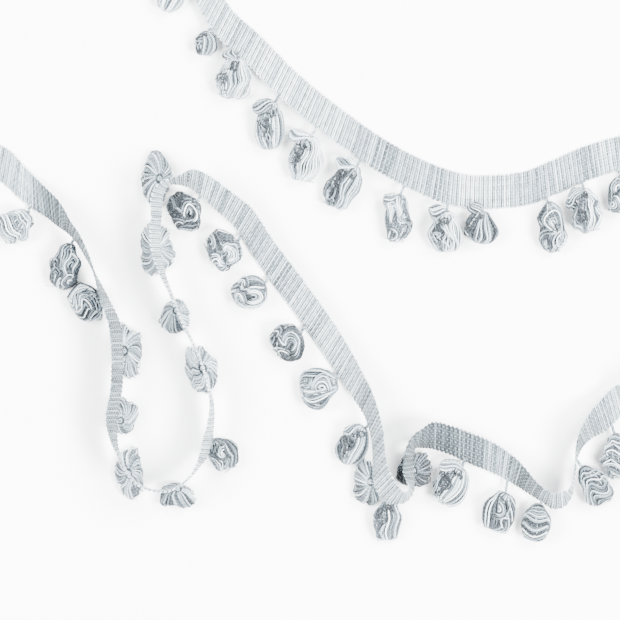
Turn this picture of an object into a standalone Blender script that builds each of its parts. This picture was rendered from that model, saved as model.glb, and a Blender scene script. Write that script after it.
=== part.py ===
"""Pompom fringe trim: a ribbed heading tape that meanders over a table, with tied yarn pompoms
hanging from its fringe edge on short stems.

The tape is one ruled band. Its route is a table of stations, and each station says where the
fringe edge lies, which way the ribs point there, how far the band leans over and how high its
fringe edge is held. Each pompom is a tied head with six locks of looped yarn.

Units are metres and degrees, +Z is up, and the trim lies on the plane z = 0.
"""

import math
from collections import namedtuple

import bmesh
import bpy
import numpy as np
from mathutils import Vector

MILLIMETRE = 0.001

# Scale of the plan: one pixel of the photograph, and the pixel that lies at the origin
PIXEL = 0.0006
MIDDLE_X = 343.3
MIDDLE_Y = 231.9

# Heading tape
TAPE_WIDTH = 0.0200
RIB_PITCH = 0.0054
CREST_THICKNESS = 0.0020
VALLEY_THICKNESS = 0.0013
EDGE_LOOP = 0.0005
LEVEL_BELOW = 0.0004
STEPS_PER_STATION = 24

# Pompoms and their stems
STEM_GAP = 0.0003
STEM_RADIUS = 0.0009
HEAD_RADIUS = 0.0022
HEAD_DEPTH = 0.0016
HEAD_HOLLOW = 0.0006
LOCKS = 6
LOCK_INNER = 0.0008
LOCK_PART = 4.5
SETTLE = 0.0010
BELLY = 0.5
STANDING_PITCH = 45.0

# Where the locks of a pompom are measured along its axis, and how full it is there
LYING_FORM = ((0.22, 0.74), (0.42, 0.96), (0.64, 1.00), (0.86, 0.80), (1.00, 0.42))
STANDING_FORM = ((0.24, 0.55), (0.44, 0.82), (0.66, 1.00), (0.86, 1.00), (1.00, 0.80))

# x, y: the fringe edge in the plan, in pixels of the photograph, y down the page
# bearing: the way from the fringe edge to the free edge when the band lies face up
# lean: 0 lies face up, 90 stands on its fringe edge, 180 lies turned over
# rise: the height of the fringe edge, in millimetres
Station = namedtuple("Station", "x y bearing lean rise")

LEFT_END = (
    Station(-22, 171, 80, 0, 1.0),
    Station(2, 182, 80, 0, 1.0),
    Station(21, 199, 85, 2, 1.2),
    Station(36, 210, 92, 8, 1.8),
    Station(47, 217, 96, 18, 2.6),
    Station(57, 225, 92, 34, 4.0),
    Station(67, 232, 76, 66, 6.0),
    Station(76, 241, 60, 75, 8.0),
    Station(87, 258, 42, 82, 10.0),
    Station(97, 276, 26, 90, 12.0),
)
LEFT_STRAND = (
    Station(110, 300, 14, 103, 13.5),
    Station(120, 321, 5, 107, 14.0),
    Station(123, 345, 0, 107, 14.0),
    Station(123, 385, -1, 107, 14.0),
    Station(118, 423, -2, 106, 14.0),
    Station(118, 440, 6, 98, 14.0),
    Station(121, 455, 22, 91, 14.0),
)
LOOP_FOOT = (
    Station(128, 471, 42, 90, 14.0),
    Station(138, 482, 60, 90, 14.0),
    Station(153, 489, 80, 90, 14.0),
    Station(171, 489, 98, 90, 14.0),
    Station(188, 479, 126, 89, 14.0),
    Station(200, 466, 143, 84, 13.0),
)
RIGHT_STRAND = (
    Station(208, 455, 165, 77, 11.5),
    Station(212, 441, 178, 75, 10.5),
    Station(214, 423, 183, 80, 11.5),
    Station(214, 405, 189, 85, 13.0),
    Station(207, 378, 200, 90, 14.0),
    Station(199, 354, 203, 90, 14.0),
    Station(188, 330, 204, 88, 14.0),
    Station(172, 292, 201, 87, 14.0),
    Station(164, 268, 190, 81, 14.0),
    Station(161, 248, 181, 75, 14.0),
    Station(162, 215, 179, 74, 14.0),
)
CORNER = (
    Station(163, 200, 175, 72, 14.0),
    Station(166, 190, 155, 76, 14.0),
    Station(172, 185, 115, 82, 13.5),
    Station(180, 185, 90, 76, 12.0),
    Station(190, 188, 82, 58, 9.5),
)
DIAGONAL = (
    Station(202, 197, 75, 48, 7.0),
    Station(219, 212, 64, 45, 4.5),
    Station(238, 230, 59, 39, 3.0),
    Station(254, 256, 58, 36, 2.0),
    Station(290, 306, 57, 33, 1.6),
    Station(324, 354, 58, 33, 1.8),
    Station(348, 390, 62, 40, 3.5),
    Station(366, 419, 66, 50, 7.5),
    Station(372, 443, 61, 53, 11.0),
    Station(373, 466, 55, 53, 13.0),
)
SHARP_FOLD = (
    Station(374, 484, 50, 50, 14.0),
    Station(384, 499, 49, 53, 14.5),
    Station(395, 503, 62, 63, 15.0),
    Station(405, 501, 82, 70, 15.0),
    Station(412, 493, 118, 73, 14.5),
    Station(414, 481, 160, 73, 14.5),
    Station(413, 467, 186, 71, 14.5),
    Station(413, 455, 176, 73, 14.0),
    Station(415, 447, 132, 73, 12.5),
    Station(421, 447, 98, 58, 10.0),
)
RIGHT_PART = (
    Station(431, 448, 91, 39, 7.0),
    Station(450, 454, 90, 31, 4.0),
    Station(470, 463, 88, 26, 2.5),
    Station(490, 471, 87, 28, 2.5),
    Station(508, 480, 82, 40, 4.0),
    Station(527, 492, 68, 64, 8.0),
    Station(541, 501, 73, 68, 10.0),
    Station(553, 508, 91, 61, 11.0),
    Station(564, 505, 104, 62, 11.0),
    Station(571, 494, 138, 76, 10.5),
    Station(573, 478, 168, 87, 10.0),
    Station(575, 462, 165, 87, 9.5),
    Station(582, 446, 127, 71, 8.5),
    Station(592, 437, 112, 51, 7.0),
    Station(605, 430, 111, 33, 5.0),
    Station(621, 415, 106, 26, 4.0),
)
TURN_BACK = (
    Station(636, 403, 118, 54, 9.5),
    Station(656, 383, 136, 82, 14.0),
    Station(677, 350, 154, 90, 14.0),
    Station(692, 304, 171, 90, 14.0),
    Station(695, 252, 186, 90, 14.0),
    Station(687, 212, 205, 92, 14.0),
    Station(671, 184, 230, 104, 13.0),
    Station(652, 172, 256, 140, 7.0),
    Station(636, 168, 271, 169, 2.0),
)
TOP_RUN = (
    Station(620, 170, 277, 180, 1.0),
    Station(585, 181, 278, 180, 1.0),
    Station(555, 194, 277, 180, 1.0),
    Station(525, 205, 272, 180, 1.0),
    Station(500, 208, 270, 180, 1.0),
    Station(467, 208, 268, 182, 1.7),
    Station(445, 203, 264, 187, 3.4),
    Station(413, 190, 257, 197, 6.8),
    Station(373, 168, 254, 200, 8.0),
    Station(333, 140, 250, 202, 8.6),
    Station(286, 103, 245, 202, 8.6),
    Station(246, 63, 244, 202, 8.6),
    Station(217, 36, 244, 202, 8.6),
    Station(200, 8, 243, 201, 8.4),
    Station(189, -22, 243, 198, 7.4),
    Station(181, -46, 243, 194, 6.2),
)
ROUTE = (LEFT_END + LEFT_STRAND + LOOP_FOOT + RIGHT_STRAND + CORNER + DIAGONAL
         + SHARP_FOLD + RIGHT_PART + TURN_BACK + TOP_RUN)

# root, tie: where the stem leaves the tape and where the pompom is tied, in pixels of the plan
# bearing, pitch: which way the pompom points from its tie, and how steeply down
# length, across, thick: its size along the axis and the two ways across it, in millimetres
# twist: how far the locks wind round the axis from tie to tip
Pompom = namedtuple("Pompom", "name root_x root_y tie_x tie_y bearing pitch length across thick twist")

LOWER_POMPOMS = (
    Pompom("lower_01", 31, 205, 29, 216, 216, 8, 20, 19, 14, 40),
    Pompom("lower_02", 74, 239, 71, 246, 256, 8, 25, 17, 14, -30),
    Pompom("lower_03", 101, 285, 98, 295, 215, 30, 17, 23, 14, 50),
    Pompom("lower_04", 123, 352, 125, 351, 5, 78, 11, 29, 17, 20),
    Pompom("lower_05", 118, 422, 121, 420, 70, 70, 11.5, 20, 21, -25),
    Pompom("lower_06", 129, 473, 129, 473, 10, 86, 11, 30, 15, 20),
    Pompom("lower_07", 178, 486, 178, 489, 270, 52, 10.5, 19, 15, -20),
    Pompom("lower_08", 212, 438, 215, 441, 305, 10, 18, 17, 14, 35),
    Pompom("lower_09", 203, 366, 203, 368, 200, 80, 11, 28, 18, 25),
    Pompom("lower_10", 178, 308, 177, 311, 250, 66, 11.5, 19, 20, -20),
    Pompom("lower_11", 161, 250, 158, 250, 183, 84, 11, 30, 18, 20),
    Pompom("lower_12", 167, 188, 160, 179, 180, 78, 10.5, 31, 16, -20),
    Pompom("lower_13", 201, 196, 197, 204, 212, 12, 17, 25, 15, 35),
    Pompom("lower_14", 241, 236, 237, 244, 206, 8, 17, 26, 15, -35),
    Pompom("lower_15", 268, 278, 265, 287, 197, 8, 19, 22, 15, 45),
    Pompom("lower_16", 304, 326, 301, 336, 207, 8, 17, 26, 15, -30),
    Pompom("lower_17", 338, 375, 335, 383, 192, 8, 20, 22, 15, 45),
    Pompom("lower_18", 369, 425, 363, 429, 240, 10, 22, 15, 13, -35),
    Pompom("lower_19", 374, 481, 370, 481, 180, 76, 11.5, 26, 14, 20),
    Pompom("lower_20", 389, 502, 389, 502, 268, 12, 22, 16, 11, 15),
    Pompom("lower_21", 413, 469, 413, 470, 40, 82, 11.5, 21, 21, -20),
    Pompom("lower_22", 464, 460, 461, 469, 238, 10, 22, 20, 14, 30),
    Pompom("lower_23", 507, 480, 505, 494, 250, 8, 22, 18, 14, -30),
    Pompom("lower_24", 541, 501, 539, 505, 262, 10, 20, 17, 13, 40),
    Pompom("lower_25", 576, 459, 582, 468, 303, 8, 24, 16, 14, -35),
    Pompom("lower_26", 612, 425, 615, 436, 277, 8, 25, 18, 15, 40),
)
TOP_POMPOMS = (
    Pompom("top_01", 187, -28, 179, -24, 250, 8, 22, 16, 14, 30),
    Pompom("top_02", 211, 28, 207, 33, 262, 8, 13, 12, 11, -30),
    Pompom("top_03", 238, 55, 234, 61, 267, 8, 22, 18, 15, 45),
    Pompom("top_04", 279, 97, 273, 105, 266, 8, 26, 17, 14, -35),
    Pompom("top_05", 316, 128, 309, 138, 260, 8, 25, 17, 14, 35),
    Pompom("top_06", 361, 161, 354, 168, 243, 8, 26, 17, 14, -30),
    Pompom("top_07", 404, 187, 398, 197, 268, 8, 26, 17, 14, 40),
    Pompom("top_08", 448, 204, 446, 213, 272, 8, 22, 18, 15, -40),
    Pompom("top_09", 480, 208, 480, 213, 268, 8, 17, 18, 14, 35),
    Pompom("top_10", 546, 198, 548, 205, 279, 8, 27, 17, 14, -30),
    Pompom("top_11", 583, 182, 583, 191, 280, 8, 24, 17, 15, 40),
    Pompom("top_12", 618, 171, 620, 179, 268, 8, 19, 17, 14, -35),
)

# Pompoms under the turn back, which the photograph does not reach, stand evenly spaced
TURN_POMPOM_ROOTS = ((660, 377), (684, 331), (695, 279), (691, 227))
TURN_POMPOM_BEARINGS = (142, 161, 178, 197)
TURN_POMPOM_SIZE = {"pitch": 84, "length": 11, "across": 25, "thick": 18}
TURN_POMPOM_TWIST = 25

YARN_BLUE = (0.56, 0.64, 0.70, 1.0)
YARN_PALE = (0.70, 0.76, 0.80, 1.0)


def plan_point(x, y):
    """Place a pixel of the photograph on the table."""
    return (x - MIDDLE_X) * PIXEL, (MIDDLE_Y - y) * PIXEL


def station_slopes(knots, values):
    """Slope of each column at each station, weighted by the spacing on its two sides."""
    steps = np.diff(knots)[:, None]
    rates = np.diff(values, axis=0) / steps
    slopes = np.empty_like(values)
    slopes[0] = rates[0]
    slopes[-1] = rates[-1]
    slopes[1:-1] = (rates[1:] * steps[:-1] + rates[:-1] * steps[1:]) / (steps[1:] + steps[:-1])
    return slopes


def smooth_table(knots, values, steps):
    """Fill the table with a smooth curve through every station."""
    slopes = station_slopes(knots, values)
    rows = []
    for first in range(len(knots) - 1):
        span = knots[first + 1] - knots[first]
        for step in range(steps):
            t = step / steps
            rows.append((2 * t**3 - 3 * t**2 + 1) * values[first]
                        + (t**3 - 2 * t**2 + t) * span * slopes[first]
                        + (3 * t**2 - 2 * t**3) * values[first + 1]
                        + (t**3 - t**2) * span * slopes[first + 1])
    rows.append(values[-1])
    return np.array(rows)


class Route:
    """The band's fringe edge and rib direction, by length along its middle line."""

    def __init__(self, stations):
        places = [plan_point(row.x, row.y) for row in stations]
        values = np.array([(*place, math.radians(row.bearing), math.radians(row.lean),
                            row.rise * MILLIMETRE) for place, row in zip(places, stations)])
        hops = np.hypot(np.diff(values[:, 0]), np.diff(values[:, 1]))
        knots = np.concatenate(([0.0], np.cumsum(hops)))
        rows = smooth_table(knots, values, STEPS_PER_STATION)
        bearing, lean = rows[:, 2], rows[:, 3]
        self.edge = rows[:, [0, 1, 4]]
        self.rib = np.stack((np.cos(lean) * np.cos(bearing), np.cos(lean) * np.sin(bearing),
                             np.sin(lean)), axis=1)
        middle = self.edge + self.rib * (TAPE_WIDTH / 2)
        self.lengths = np.concatenate(
            ([0.0], np.cumsum(np.linalg.norm(np.diff(middle, axis=0), axis=1))))
        self.travel = np.gradient(middle, self.lengths, axis=0)

    def read(self, column, length):
        """A column's value at a length along the band."""
        return Vector([np.interp(length, self.lengths, column[:, axis]) for axis in range(3)])

    def section(self, length):
        """Fringe edge, rib direction and face normal at a length along the band."""
        rib = self.read(self.rib, length).normalized()
        normal = self.read(self.travel, length).cross(rib).normalized()
        return self.read(self.edge, length), rib, normal

    def stem_root(self, x, y):
        """Where the stem nearest to a pixel of the plan starts, and its way out of the edge."""
        place = plan_point(x, y)
        away = np.hypot(self.edge[:, 0] - place[0], self.edge[:, 1] - place[1])
        length = self.lengths[int(np.argmin(away))]
        edge, rib, _ = self.section(length)
        travel = self.read(self.travel, length).normalized()
        out = (travel * rib.dot(travel) - rib).normalized()
        return edge + out * (EDGE_LOOP + STEM_GAP), out


def new_material(name, colour, roughness):
    """A plain yarn finish."""
    material = bpy.data.materials.new(name)
    material.use_nodes = True
    shader = material.node_tree.nodes["Principled BSDF"]
    shader.inputs["Base Color"].default_value = colour
    shader.inputs["Roughness"].default_value = roughness
    shader.inputs["Metallic"].default_value = 0.0
    return material


def new_object(name, points, faces, material, parent):
    """A closed object from points and faces, with its faces turned outwards."""
    mesh = bpy.data.meshes.new(name)
    mesh.from_pydata([tuple(point) for point in points], [], faces)
    work = bmesh.new()
    work.from_mesh(mesh)
    bmesh.ops.triangulate(work, faces=work.faces[:], quad_method="SHORT_EDGE")
    bmesh.ops.recalc_face_normals(work, faces=work.faces[:])
    work.to_mesh(mesh)
    work.free()
    thing = bpy.data.objects.new(name, mesh)
    thing.data.materials.append(material)
    thing.parent = parent
    bpy.context.scene.collection.objects.link(thing)
    return thing


def stitch(faces, first, second):
    """Join two rings of points that have the same count."""
    count = len(first)
    for here in range(count):
        after = (here + 1) % count
        faces.append((first[here], first[after], second[after], second[here]))


def heading_tape(route):
    """Points and faces of the ribbed band: a crest and a valley for each rib."""
    ribs = int(route.lengths[-1] / RIB_PITCH)
    points = []
    rings = []
    for step in range(2 * ribs + 1):
        edge, rib, normal = route.section(route.lengths[-1] * step / (2 * ribs))
        crest = step % 2 == 1
        half = (CREST_THICKNESS if crest else VALLEY_THICKNESS) / 2
        reach = EDGE_LOOP if crest else 0.0
        near = edge - rib * reach
        far = edge + rib * (TAPE_WIDTH + reach)
        ring = [near - normal * half, near + normal * half,
                far + normal * half, far - normal * half]
        for point in ring:
            if point.z < LEVEL_BELOW:
                point.z = 0.0
        rings.append(range(len(points), len(points) + 4))
        points.extend(ring)
    faces = [tuple(rings[0]), tuple(rings[-1])]
    for first, second in zip(rings, rings[1:]):
        stitch(faces, first, second)
    return points, faces


def ring_of(centre, side, up, radius, count):
    """A round ring of points."""
    angles = [2 * math.pi * step / count for step in range(count)]
    return [centre + side * (radius * math.cos(angle)) + up * (radius * math.sin(angle))
            for angle in angles]


def lock_angles(lock, twist):
    """Angles of a lock's two outer corners and its inner one."""
    middle = math.radians(360 / LOCKS * (lock + 0.5)) + twist
    spread = math.radians(180 / LOCKS - LOCK_PART)
    return middle, middle - spread, middle + spread


def lock_ring(row, place, full, lock, tie, axes):
    """The three corners of a lock where it is cut square to the pompom's axis."""
    axis, side, up = axes
    middle, first, last = lock_angles(lock, math.radians(row.twist) * place)
    centre = tie + axis * (row.length * MILLIMETRE * place)
    corners = [centre + (side * math.cos(middle) + up * math.sin(middle)) * LOCK_INNER]
    for angle in (first, last):
        lying_low = row.pitch <= STANDING_PITCH and math.sin(angle) < 0
        height = full**BELLY if lying_low else full
        corners.append(centre
                       + side * (row.across * MILLIMETRE / 2 * full * math.cos(angle))
                       + up * (row.thick * MILLIMETRE / 2 * height * math.sin(angle)))
    return corners


def tied_locks(row, tie, axes):
    """Points and faces of a pompom's head and locks, with the head's ring first."""
    axis, side, up = axes
    form = STANDING_FORM if row.pitch > STANDING_PITCH else LYING_FORM

    # The head's underside opens into the locks, which share nothing below it
    points = ring_of(tie + axis * HEAD_DEPTH, side, up, HEAD_RADIUS, LOCKS)
    points.append(tie + axis * (HEAD_DEPTH + HEAD_HOLLOW))
    head, core = list(range(LOCKS)), LOCKS
    faces = []
    for lock in range(LOCKS):
        ring = [core, head[lock], head[(lock + 1) % LOCKS]]
        for place, full in form:
            after = list(range(len(points), len(points) + 3))
            points += lock_ring(row, place, full, lock, tie, axes)
            stitch(faces, ring, after)
            ring = after
        faces.append(tuple(ring))
    return points, faces


def rest_on_table(points, tie):
    """Lower the points and the tie until the lowest lies on the table, and press that level."""
    lowest = min(point.z for point in points)
    tie.z -= lowest
    for point in points:
        point.z -= lowest
        if point.z < SETTLE:
            point.z = 0.0


def add_stem(points, faces, row, route, tie, axes):
    """Join the head's ring to the tape's fringe edge."""
    axis, side, _ = axes
    start, out = route.stem_root(row.root_x, row.root_y)
    along = (tie - start).normalized()
    leaving = (out + along).normalized()
    start += out * (STEM_RADIUS * math.sqrt(1.0 - min(1.0, out.dot(leaving)**2)))
    rings = []
    for centre, way in ((start, leaving), (tie, (axis + along).normalized())):
        across = (side - way * side.dot(way)).normalized()
        rings.append(list(range(len(points), len(points) + LOCKS)))
        points += ring_of(centre, across, way.cross(across), STEM_RADIUS, LOCKS)
    root, neck = rings
    for index in root:
        points[index].z = max(points[index].z, 0.0)
    stitch(faces, root, neck)
    stitch(faces, neck, range(LOCKS))
    faces.append(tuple(root))


def pompom(row, route):
    """Points and faces of one pompom with its stem: a tied head and six locks."""
    bearing, pitch = math.radians(row.bearing), math.radians(row.pitch)
    axis = Vector((math.cos(bearing) * math.cos(pitch), math.sin(bearing) * math.cos(pitch),
                   -math.sin(pitch)))
    side = Vector((-math.sin(bearing), math.cos(bearing), 0.0))
    axes = axis, side, axis.cross(side)
    tie = Vector((*plan_point(row.tie_x, row.tie_y), 0.0))
    points, faces = tied_locks(row, tie, axes)
    rest_on_table(points, tie)
    add_stem(points, faces, row, route, tie, axes)
    return points, faces


def turn_pompoms():
    """Rows for the pompoms that stand under the turn back."""
    rows = []
    for count, (root, bearing) in enumerate(zip(TURN_POMPOM_ROOTS, TURN_POMPOM_BEARINGS)):
        twist = TURN_POMPOM_TWIST * (-1) ** count
        rows.append(Pompom(f"turn_{count + 1:02d}", *root, *root, bearing,
                           twist=twist, **TURN_POMPOM_SIZE))
    return tuple(rows)


def main():
    """Build the tape and every pompom under one empty."""
    for thing in list(bpy.data.objects):
        bpy.data.objects.remove(thing, do_unlink=True)
    trim = bpy.data.objects.new("pompom_trim", None)
    bpy.context.scene.collection.objects.link(trim)

    route = Route(ROUTE)
    points, faces = heading_tape(route)
    new_object("heading_tape", points, faces, new_material("tape_yarn", YARN_PALE, 0.85), trim)
    for row in LOWER_POMPOMS + turn_pompoms() + TOP_POMPOMS:
        points, faces = pompom(row, route)
        name = f"pompom_{row.name}"
        new_object(name, points, faces, new_material(f"{name}_yarn", YARN_BLUE, 0.8), trim)


main()
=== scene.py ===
"""Looks of a pompom fringe trim.

The heading is one weft yarn laid back and forth with a hairpin at each edge and bound by fine
warp threads. Stems of twisted yarn leave its fringe edge, and each carries a pompom: a skein of
looped yarn, tied at the neck and fanned round it.
"""

import logging
import math
from dataclasses import dataclass, field
from enum import Enum
from typing import NamedTuple, Sequence, TypeVar

import bpy
import numpy as np
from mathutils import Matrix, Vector


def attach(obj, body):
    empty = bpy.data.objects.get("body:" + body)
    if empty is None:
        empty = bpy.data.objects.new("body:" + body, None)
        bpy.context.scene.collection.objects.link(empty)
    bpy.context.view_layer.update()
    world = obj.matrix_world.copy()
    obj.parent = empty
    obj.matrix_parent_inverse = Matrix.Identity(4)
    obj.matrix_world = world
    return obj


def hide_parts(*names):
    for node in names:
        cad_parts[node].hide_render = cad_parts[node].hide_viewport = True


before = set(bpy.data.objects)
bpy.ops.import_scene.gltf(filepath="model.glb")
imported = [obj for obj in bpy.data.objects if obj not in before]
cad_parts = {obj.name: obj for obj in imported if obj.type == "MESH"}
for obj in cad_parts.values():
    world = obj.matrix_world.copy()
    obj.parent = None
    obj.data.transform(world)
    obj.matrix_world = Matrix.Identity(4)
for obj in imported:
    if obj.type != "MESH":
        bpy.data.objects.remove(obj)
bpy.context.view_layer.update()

LOG = logging.getLogger("pompom_trim")

# The plan's scale: metres in a pixel of the photograph, and the pixel that lies at the origin
PIXEL = 0.0006
MIDDLE_X = 343.3
MIDDLE_Y = 231.9
PICTURE_SIDE = 620
MILLIMETRE = 0.001
TAU = 2.0 * math.pi
# A pompom that points down more steeply than this, in degrees, stands with its tie on top
STANDING_PITCH = 45.0
FORM_SAMPLES = 24
FIRST_SEED = 100

Row = TypeVar("Row")


def table_of(kind: type[Row], *rows: tuple) -> tuple[Row, ...]:
    """Give each row of a table its class.

    Args:
        kind: the rows' class.
        rows: each row's values, in the order of the class's fields.

    Returns:
        The table.
    """
    return tuple(kind(*row) for row in rows)


class Station(NamedTuple):
    """Where the heading's fringe edge lies, and how the band stands there.

    x and y are pixels of the photograph, bearing and lean are degrees, rise is millimetres.
    Lean is 0 face up, 90 on its fringe edge and 180 turned over.
    """

    x: float
    y: float
    bearing: float
    lean: float
    rise: float


LEFT_END = table_of(
    Station,
    (-22, 171, 80, 0, 1.0), (2, 182, 80, 0, 1.0), (21, 199, 85, 2, 1.2), (36, 210, 92, 8, 1.8),
    (47, 217, 96, 18, 2.6), (57, 225, 92, 34, 4.0), (67, 232, 76, 66, 6.0), (76, 241, 60, 75, 8.0),
    (87, 258, 42, 82, 10.0), (97, 276, 26, 90, 12.0),
)
LEFT_STRAND = table_of(
    Station,
    (110, 300, 14, 103, 13.5), (120, 321, 5, 107, 14.0), (123, 345, 0, 107, 14.0),
    (123, 385, -1, 107, 14.0), (118, 423, -2, 106, 14.0), (118, 440, 6, 98, 14.0),
    (121, 455, 22, 91, 14.0),
)
LOOP_FOOT = table_of(
    Station,
    (128, 471, 42, 90, 14.0), (138, 482, 60, 90, 14.0), (153, 489, 80, 90, 14.0),
    (171, 489, 98, 90, 14.0), (188, 479, 126, 89, 14.0), (200, 466, 143, 84, 13.0),
)
RIGHT_STRAND = table_of(
    Station,
    (208, 455, 165, 77, 11.5), (212, 441, 178, 75, 10.5), (214, 423, 183, 80, 11.5),
    (214, 405, 189, 85, 13.0), (207, 378, 200, 90, 14.0), (199, 354, 203, 90, 14.0),
    (188, 330, 204, 88, 14.0), (172, 292, 201, 87, 14.0), (164, 268, 190, 81, 14.0),
    (161, 248, 181, 75, 14.0), (162, 215, 179, 74, 14.0),
)
CORNER = table_of(
    Station,
    (163, 200, 175, 72, 14.0), (166, 190, 155, 76, 14.0), (172, 185, 115, 82, 13.5),
    (180, 185, 90, 76, 12.0), (190, 188, 82, 58, 9.5),
)
DIAGONAL = table_of(
    Station,
    (202, 197, 75, 48, 7.0), (219, 212, 64, 45, 4.5), (238, 230, 59, 39, 3.0),
    (254, 256, 58, 36, 2.0), (290, 306, 57, 33, 1.6), (324, 354, 58, 33, 1.8),
    (348, 390, 62, 40, 3.5), (366, 419, 66, 50, 7.5), (372, 443, 61, 53, 11.0),
    (373, 466, 55, 53, 13.0),
)
SHARP_FOLD = table_of(
    Station,
    (374, 484, 50, 50, 14.0), (384, 499, 49, 53, 14.5), (395, 503, 62, 63, 15.0),
    (405, 501, 82, 70, 15.0), (412, 493, 118, 73, 14.5), (414, 481, 160, 73, 14.5),
    (413, 467, 186, 71, 14.5), (413, 455, 176, 73, 14.0), (415, 447, 132, 73, 12.5),
    (421, 447, 98, 58, 10.0),
)
RIGHT_PART = table_of(
    Station,
    (431, 448, 91, 39, 7.0), (450, 454, 90, 31, 4.0), (470, 463, 88, 26, 2.5),
    (490, 471, 87, 28, 2.5), (508, 480, 82, 40, 4.0), (527, 492, 68, 64, 8.0),
    (541, 501, 73, 68, 10.0), (553, 508, 91, 61, 11.0), (564, 505, 104, 62, 11.0),
    (571, 494, 138, 76, 10.5), (573, 478, 168, 87, 10.0), (575, 462, 165, 87, 9.5),
    (582, 446, 127, 71, 8.5), (592, 437, 112, 51, 7.0), (605, 430, 111, 33, 5.0),
    (621, 415, 106, 26, 4.0),
)
TURN_BACK = table_of(
    Station,
    (636, 403, 118, 54, 9.5), (656, 383, 136, 82, 14.0), (677, 350, 154, 90, 14.0),
    (692, 304, 171, 90, 14.0), (695, 252, 186, 90, 14.0), (687, 212, 205, 92, 14.0),
    (671, 184, 230, 104, 13.0), (652, 172, 256, 140, 7.0), (636, 168, 271, 169, 2.0),
)
TOP_RUN = table_of(
    Station,
    (620, 170, 277, 180, 1.0), (585, 181, 278, 180, 1.0), (555, 194, 277, 180, 1.0),
    (525, 205, 272, 180, 1.0), (500, 208, 270, 180, 1.0), (467, 208, 268, 182, 1.7),
    (445, 203, 264, 187, 3.4), (413, 190, 257, 197, 6.8), (373, 168, 254, 200, 8.0),
    (333, 140, 250, 202, 8.6), (286, 103, 245, 202, 8.6), (246, 63, 244, 202, 8.6),
    (217, 36, 244, 202, 8.6), (200, 8, 243, 201, 8.4), (189, -22, 243, 198, 7.4),
    (181, -46, 243, 194, 6.2),
)
STATIONS = (LEFT_END + LEFT_STRAND + LOOP_FOOT + RIGHT_STRAND + CORNER + DIAGONAL
            + SHARP_FOLD + RIGHT_PART + TURN_BACK + TOP_RUN)


class DyeStop(NamedTuple):
    """How dark the heading's yarn was dyed near a pixel of the photograph, 0 white to 1 slate."""

    x: float
    y: float
    depth: float


HEADING_DYES = table_of(
    DyeStop,
    (-22, 171, 0.46), (21, 199, 0.45), (57, 225, 0.78), (97, 276, 0.84), (120, 321, 0.64),
    (123, 385, 0.72), (118, 440, 0.66), (153, 489, 0.20), (208, 455, 0.40), (207, 378, 0.24),
    (172, 292, 0.30), (161, 230, 0.28), (180, 185, 0.34), (219, 212, 0.36), (254, 256, 0.44),
    (290, 306, 0.36), (324, 354, 0.30), (366, 419, 0.50), (374, 484, 0.42), (395, 503, 0.34),
    (413, 467, 0.90), (431, 448, 1.00), (450, 454, 1.00), (490, 471, 0.52), (527, 492, 0.74),
    (560, 507, 0.34), (582, 446, 0.62), (605, 430, 0.42), (656, 383, 0.30), (695, 252, 0.40),
    (620, 170, 0.34), (585, 181, 0.42), (555, 194, 0.36), (520, 205, 0.46), (500, 208, 0.12),
    (467, 208, 0.14), (445, 203, 0.46), (413, 190, 0.44), (373, 168, 0.50), (333, 140, 0.30),
    (286, 103, 0.20), (246, 63, 0.28), (217, 36, 0.34), (181, -46, 0.30),
)


class Lay(Enum):
    """How a pompom's loops lie."""

    ONION = "from the tie straight down to the tip, in locks"
    WAVE = "side by side from tie to tip in long waves"
    ARCH = "across the skein from flank to flank, in arches that flatten into waves"
    KNOT = "in locks that curl over one another, the topmost round an eye near the tie"
    CROWN = "fanned all round the tie, which is on top"


class PompomRow(NamedTuple):
    """One pompom: pixels of the photograph, degrees and millimetres, and how its loops lie."""

    name: str
    root_x: float
    root_y: float
    tie_x: float
    tie_y: float
    bearing: float
    pitch: float
    length: float
    across: float
    thick: float
    twist: float
    lay: Lay
    dye: float


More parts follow.
